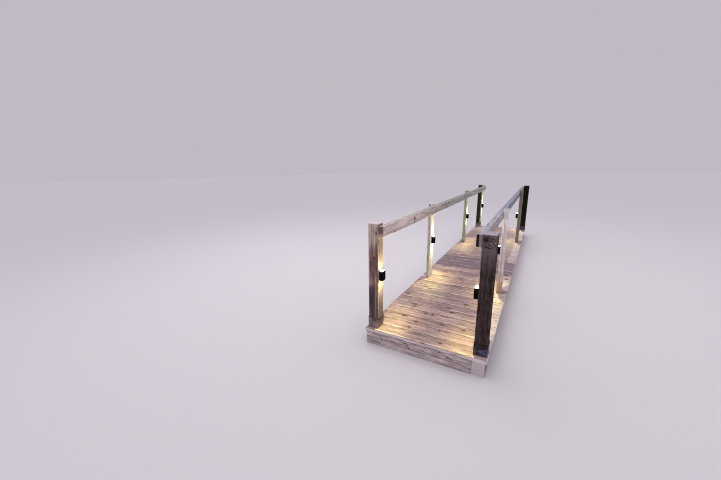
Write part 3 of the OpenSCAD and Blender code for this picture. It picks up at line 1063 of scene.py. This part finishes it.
class FOOTBRIDGE_OT_deck(bpy.types.Operator):
    """Lay the deck boards, plain ones along a rule and notched ones round the intermediate posts"""
    bl_idname = "footbridge.deck"
    bl_label = "Deck boards"

    def execute(self, context):
        deck = context.scene.bridge_deck
        pith, rounding = (0.05, 0.09), 0.0012
        notched = merged("deck_boards_notched")
        kept_out = {round((middle_of(i).y - board_middle(0)) / board_pitch()) for i in islands(notched)}
        notched.free()
        bm = first_board()
        middle_y = sum(v.co.y for v in bm.verts) / len(bm.verts)
        for v in bm.verts:
            v.co -= Vector((0, middle_y, DECK_LOW))
        soften(bm, rounding)
        slice_along(bm, axis=0, step=0.09)
        slice_along(bm, axis=1, step=0.035)
        plain = template("plain board", bm)
        sizes = {"Lift": deck.lift, "Skew": deck.skew, "Slide": deck.slide, "Seed": deck.seed}
        boards = run_tree("deck_boards", repeat_tree("Deck boards", sizes, lay_boards),
                          {**sizes, "Copied": plain, "Finish": finish("deck")},
                          [(0, board_middle(k), DECK_LOW) for k in range(deck.boards) if k not in kept_out])
        bm = bmesh.new()
        bm.from_mesh(boards.data)
        bpy.data.objects.remove(boards)
        dress_smooth(finish_mesh("deck_boards", bm, "X", deck.seed, pith), "deck", "timber_deck",
                     "deck_boards_front", "deck_boards_middle", "deck_boards_rear")
        timber_piece("deck_boards_notched", "X", "deck", "timber_deck", 61, round_by=rounding,
                     depth=0.0006, pith=pith, step=0.05)
        return {"FINISHED"}


class FOOTBRIDGE_OT_frame(bpy.types.Operator):
    """Finish the bearers, cross pieces, risers and corner blocks"""
    bl_idname = "footbridge.frame"
    bl_label = "Frame under the deck"

    def execute(self, context):
        for seed, node in enumerate(BEARERS, 3):
            timber_piece(node, "Y", "frame", "timber_frame", seed, step=0.08)
        timber_piece("noggins", "X", "frame", "timber_frame", 9, step=0.05)
        for seed, (end, side) in enumerate(CORNERS, 24):
            slot = "timber_end_block" if (end, side) == ("front", "right") else "timber_frame"
            timber_piece(f"corner_block_{end}_{side}", "Y", "block", slot, seed, pith=(0.06, 0.05))
        for seed, node in enumerate(("riser_front", "riser_rear"), 30):
            timber_piece(node, "X", "riser", "timber_riser", seed)
        return {"FINISHED"}


class FOOTBRIDGE_OT_posts(bpy.types.Operator):
    """Finish the corner posts and the intermediate posts"""
    bl_idname = "footbridge.posts"
    bl_label = "Posts"

    def execute(self, context):
        for number, (end, side) in enumerate(CORNERS):
            timber_piece(f"post_{end}_{side}", "Z", f"post {end} {side}", "timber_corner_post",
                         33 + number, depth=0.003, pith=(0.012, 0.015), step=0.018)
            timber_piece(f"mid_post_{side}_{end}", "Z", f"mid post {end} {side}", "timber_mid_post",
                         44 + number, step=0.025)
        return {"FINISHED"}


class FOOTBRIDGE_OT_rails(bpy.types.Operator):
    """Finish the two handrails"""
    bl_idname = "footbridge.rails"
    bl_label = "Handrails"

    def execute(self, context):
        for seed, side in enumerate(SIDES, 50):
            timber_piece(f"handrail_{side}", "Y", f"rail {side}", "timber_handrail", seed,
                         pith=(0.05, 0.02), step=0.04)
        return {"FINISHED"}


class FOOTBRIDGE_OT_shoes(bpy.types.Operator):
    """Finish the galvanised shoes under the corner posts"""
    bl_idname = "footbridge.shoes"
    bl_label = "Post shoes"

    def execute(self, context):
        for end, side in CORNERS:
            node = f"post_shoe_{end}_{side}"
            bm = merged(node)
            soften(bm, 0.0006, over=35)
            dress_smooth(finish_mesh(node + "_plate", bm, "Z", 1),
                         "shoe" if side == "right" else "shoe muddy", "galvanised_shoe", node)
        return {"FINISHED"}


class FOOTBRIDGE_OT_fixings(bpy.types.Operator):
    """Drive the deck screws, the rail screws and the coach screws at the posts' feet"""
    bl_idname = "footbridge.fixings"
    bl_label = "Screws"

    def execute(self, context):
        fixings = context.scene.bridge_fixings
        r = fixings.deck_head / 2
        head = turned("deck screw", [(r, -0.0010), (r, 0.0009), (r * 0.86, 0.0013), (r * 0.42, 0.0012),
                                     (r * 0.40, 0.0008, 0.7)])
        r = fixings.coach_head / 2
        coach = turned("coach screw", [(r * 1.32, -0.001), (r * 1.32, 0.0018), (r * 1.2, 0.0024),
                                       (r * 1.12, 0.0024), (r * 1.12, 0.0080), (r * 0.9, 0.0092)])
        tree = repeat_tree("Screws in a face", {"Turn": (0.0, 0.0, 0.0), "Seed": 0}, drive_screws)

        def drive(name, copied, material, points, turn=0.0):
            values = {"Turn": (0.0, turn, 0.0), "Seed": len(points), "Copied": copied,
                      "Finish": finish(material)}
            dress(run_tree(name, tree, values, points), material, "galvanised_shoe")

        points = []
        draw = random.Random(5)
        for k in range(context.scene.bridge_deck.boards):
            for node in BEARERS:
                low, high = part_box(node)
                for across in (-0.5, 0.5):
                    points.append(((low.x + high.x) / 2 + draw.uniform(-0.004, 0.004),
                                   board_middle(k) + across * fixings.spread
                                   + draw.uniform(-0.003, 0.003), DECK_TOP))
        drive("deck_screws", head, "screw", points)
        for name, side in SIDES.items():
            mid_posts = [f"mid_post_{name}_front", f"mid_post_{name}_rear"]
            rail_low, rail_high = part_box(f"handrail_{name}")
            inner = rail_high.x if side < 0 else rail_low.x
            rail_z = (rail_low.z + rail_high.z) / 2
            low_points, rail_points = [], []
            for node in [f"post_front_{name}", *mid_posts, f"post_rear_{name}"]:
                low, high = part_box(node)
                outer = low.x if side < 0 else high.x
                y = (low.y + high.y) / 2
                rail_points += [(inner, y + along, rail_z + up) for along, up in RAIL_SCREWS]
                if node in mid_posts:
                    low_points += [(outer, y + along, up) for along, up in COACH_SCREWS]
            drive(f"coach_screws_{name}", coach, "coach", low_points, side * math.pi / 2)
            drive(f"rail_screws_{name}", head, "screw", rail_points, -side * math.pi / 2)
        return {"FINISHED"}


def only(name, objects):
    """A collection of the pieces that a light reaches."""
    lit = bpy.data.collections.new(name)
    for obj in objects:
        lit.objects.link(obj)
    return lit


def hang(light, place, aim, lit=None, share=1.0):
    """Hangs a light. It may reach only some pieces, and its pool may be narrowed across the bridge."""
    obj = show(light.name, light)
    turn = aim.to_track_quat("-Z", "Y").to_matrix().to_4x4()
    obj.matrix_world = Matrix.Translation(place) @ turn @ Matrix.Diagonal((share, 1.0, 1.0, 1.0))
    obj.visible_camera = False
    if lit:
        obj.light_linking.receiver_collection = lit


def spot(name, colour, power, width, blend):
    light = bpy.data.lights.new(name, "SPOT")
    light.color = colour
    light.energy = power
    light.spot_size = width
    light.spot_blend = blend
    light.shadow_soft_size = SOURCE_RADIUS
    return light


class FOOTBRIDGE_OT_lamps(bpy.types.Operator):
    """Finish the lamps on the posts and light their beams"""
    bl_idname = "footbridge.lamps"
    bl_label = "Lamps"

    def execute(self, context):
        pieces = [o for o in context.scene.objects if o.type == "MESH"]
        posts = [o for o in pieces if "post_" in o.name and o.name.endswith("_timber")]
        beamed = only("Lit by the beams", [o for o in pieces if o not in posts])
        for name, side in SIDES.items():
            row = sorted((o for o in posts if name in o.name), key=lambda o: o.data.vertices[0].co.y)
            for number, post in enumerate(row, 1):
                node = f"lamp_{name}_{number}"
                bm = merged(node)
                soften(bm, 0.0008, over=25)
                dress_smooth(finish_mesh(node + "_body", bm, "Z", number), "lamp", "lamp_black", node)
                self.light(node, side, 1 if number == 1 else -1, beamed, only("Lit by " + node, [post]))
            for slot in NODES[f"lamp_glass_{name}"].material_slots:
                slot.material = finish("glass")
        return {"FINISHED"}

    @staticmethod
    def light(node, side, lean, beamed, faced):
        """One beam up and one down, each with a light of its own on the post's inner face.

        lean is 1 where the lower beam tilts towards the far end, and -1 where it tilts the other way.
        """
        lamps = bpy.context.scene.bridge_lamps
        low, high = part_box(node)
        middle = (low + high) / 2
        wall = high.x if side > 0 else low.x
        share, face_share, far = LAMP_LIGHT.get(node, PLAIN_LIGHT)
        glow = Vector(lamps.glow).lerp(Vector(lamps.far_glow), far)
        for name, up, edge in (("_down", -1, low.z), ("_up", 1, high.z)):
            beam = spot(node + name, glow, lamps.beam_power * share, lamps.beam_angle, 0.85)
            aim = Vector((0, math.sin(lean * lamps.beam_lean) if up < 0 else 0, up))
            hang(beam, Vector((middle.x, middle.y, edge + up * BEAM_GAP)), aim, beamed, lamps.beam_share)
            face = spot(node + name + "_face", lamps.face_glow, lamps.face_power * face_share,
                        lamps.face_angle, 0.7)
            aim = Vector((side * math.sin(lamps.face_aim), 0, up * math.cos(lamps.face_aim)))
            hang(face, Vector((wall - side * lamps.face_reach, middle.y, edge)), aim, faced)


# The stage: the floor's radius, the softboxes' sizes and places, what they face, and the render's softness
FLOOR_RADIUS = 60
KEY_LIGHT = (5.0, 8.0), (-1.2, -0.6, 5.0)
FRONT_LIGHT = (5.0, 3.0), (0.4, -8.0, 2.6)
FACED = Vector((0.0, 0.0, 0.5))
SOFTBOX_COLOUR = (0.97, 0.95, 1.0)
PIXEL_SPREAD = 1.15


class FOOTBRIDGE_OT_stage(bpy.types.Operator):
    """Set the floor, the soft light and the camera"""
    bl_idname = "footbridge.stage"
    bl_label = "Stage"

    def execute(self, context):
        scene, stage = context.scene, context.scene.bridge_stage
        pieces = [o for o in scene.objects if o.type == "MESH"]
        bm = bmesh.new()
        bmesh.ops.create_circle(bm, cap_ends=True, segments=96, radius=FLOOR_RADIUS)
        floor = show("floor", mesh_from("floor", bm))
        material, _, shader = new_material("Plain floor")
        shader.inputs["Base Color"].default_value = rgba(stage.floor_colour)
        shader.inputs["Roughness"].default_value = 0.9
        floor.data.materials.append(material)
        self.light_all_round(scene, stage)
        self.softbox("overhead", stage.key_power, *KEY_LIGHT)
        self.softbox("front", stage.front_power, *FRONT_LIGHT, only("Lit from the front", pieces))
        self.set_camera(scene, stage)
        scene.view_settings.view_transform = "Standard"
        scene.view_settings.look = "High Contrast"
        scene.cycles.filter_width = PIXEL_SPREAD
        self.bloom(scene)
        return {"FINISHED"}

    @staticmethod
    def light_all_round(scene, stage):
        """A pale sky that lights the bridge, and a backdrop in the floor's colour that the camera sees."""
        scene.world = bpy.data.worlds.new("Soft light")
        scene.world.use_nodes = True
        tree = scene.world.node_tree
        sky = tree.nodes["Background"]
        put(sky.inputs["Color"], rgba(stage.sky_colour))
        put(sky.inputs["Strength"], stage.sky_strength)
        far_floor = [a * b for a, b in zip(stage.floor_colour, stage.sky_colour)]
        backdrop = add(tree, "ShaderNodeBackground", {
            "Color": rgba(far_floor), "Strength": stage.sky_strength})
        seen = outputs(add(tree, "ShaderNodeLightPath"))["Is Camera Ray"]
        either = add(tree, "ShaderNodeMixShader", {
            0: seen, 1: Value(sky.outputs[0]), 2: Value(backdrop.outputs[0])})
        put(tree.nodes["World Output"].inputs["Surface"], Value(either.outputs[0]))

    @staticmethod
    def softbox(name, power, size, place, lit=None):
        """A large soft light that faces the middle of the bridge."""
        light = bpy.data.lights.new(name, "AREA")
        light.shape = "RECTANGLE"
        light.size, light.size_y = size
        light.energy = power
        light.color = SOFTBOX_COLOUR
        hang(light, Vector(place), FACED - Vector(place), lit)

    @staticmethod
    def set_camera(scene, stage):
        camera = bpy.data.cameras.new("camera")
        camera.lens = stage.lens
        camera.sensor_width = 36
        camera.sensor_fit = "HORIZONTAL"
        camera.clip_end = 500
        scene.camera = show("camera", camera)
        scene.camera.matrix_world = (
            Matrix.Translation(stage.camera_place)
            @ Matrix.Rotation(stage.heading, 4, "Z")
            @ Matrix.Rotation(math.pi / 2 - stage.dip, 4, "X")
            @ Matrix.Rotation(stage.roll, 4, "Z"))

    @staticmethod
    def bloom(scene):
        """The small halo that a lens puts round a lit lamp."""
        scene.use_nodes = True
        tree = scene.node_tree
        tree.nodes.clear()
        seen = outputs(add(tree, "CompositorNodeRLayers"))["Image"]
        glare = add(tree, "CompositorNodeGlare", {
            "Image": seen, "Threshold": 2.0, "Strength": 0.12, "Size": 0.2}, glare_type="BLOOM")
        add(tree, "CompositorNodeComposite", {"Image": outputs(glare)["Image"]})


PIECES = (FOOTBRIDGE_OT_deck, FOOTBRIDGE_OT_frame, FOOTBRIDGE_OT_posts, FOOTBRIDGE_OT_rails,
          FOOTBRIDGE_OT_shoes, FOOTBRIDGE_OT_fixings, FOOTBRIDGE_OT_lamps, FOOTBRIDGE_OT_stage)
SETTINGS = {"bridge_timber": TimberSettings, "bridge_deck": DeckSettings,
            "bridge_fixings": FixingSettings, "bridge_lamps": LampSettings,
            "bridge_stage": StageSettings}


class FOOTBRIDGE_PT_panel(bpy.types.Panel):
    bl_idname = "FOOTBRIDGE_PT_panel"
    bl_label = "Timber footbridge"
    bl_space_type = "VIEW_3D"
    bl_region_type = "UI"
    bl_category = "Footbridge"

    def draw(self, context):
        for piece in PIECES:
            self.layout.operator(piece.bl_idname)
        for name, kind in SETTINGS.items():
            box = self.layout.box()
            for field in kind.__annotations__:
                box.prop(getattr(context.scene, name), field)


CLASSES = (*SETTINGS.values(), *PIECES, FOOTBRIDGE_PT_panel)


def register():
    for cls in CLASSES:
        bpy.utils.register_class(cls)
    for name, kind in SETTINGS.items():
        setattr(bpy.types.Scene, name, PointerProperty(type=kind))


def unregister():
    for name in SETTINGS:
        delattr(bpy.types.Scene, name)
    for cls in reversed(CLASSES):
        bpy.utils.unregister_class(cls)


def main():
    register()
    for piece in PIECES:
        category, operator = piece.bl_idname.split(".")
        getattr(getattr(bpy.ops, category), operator)()


if __name__ == "__main__":
    main()
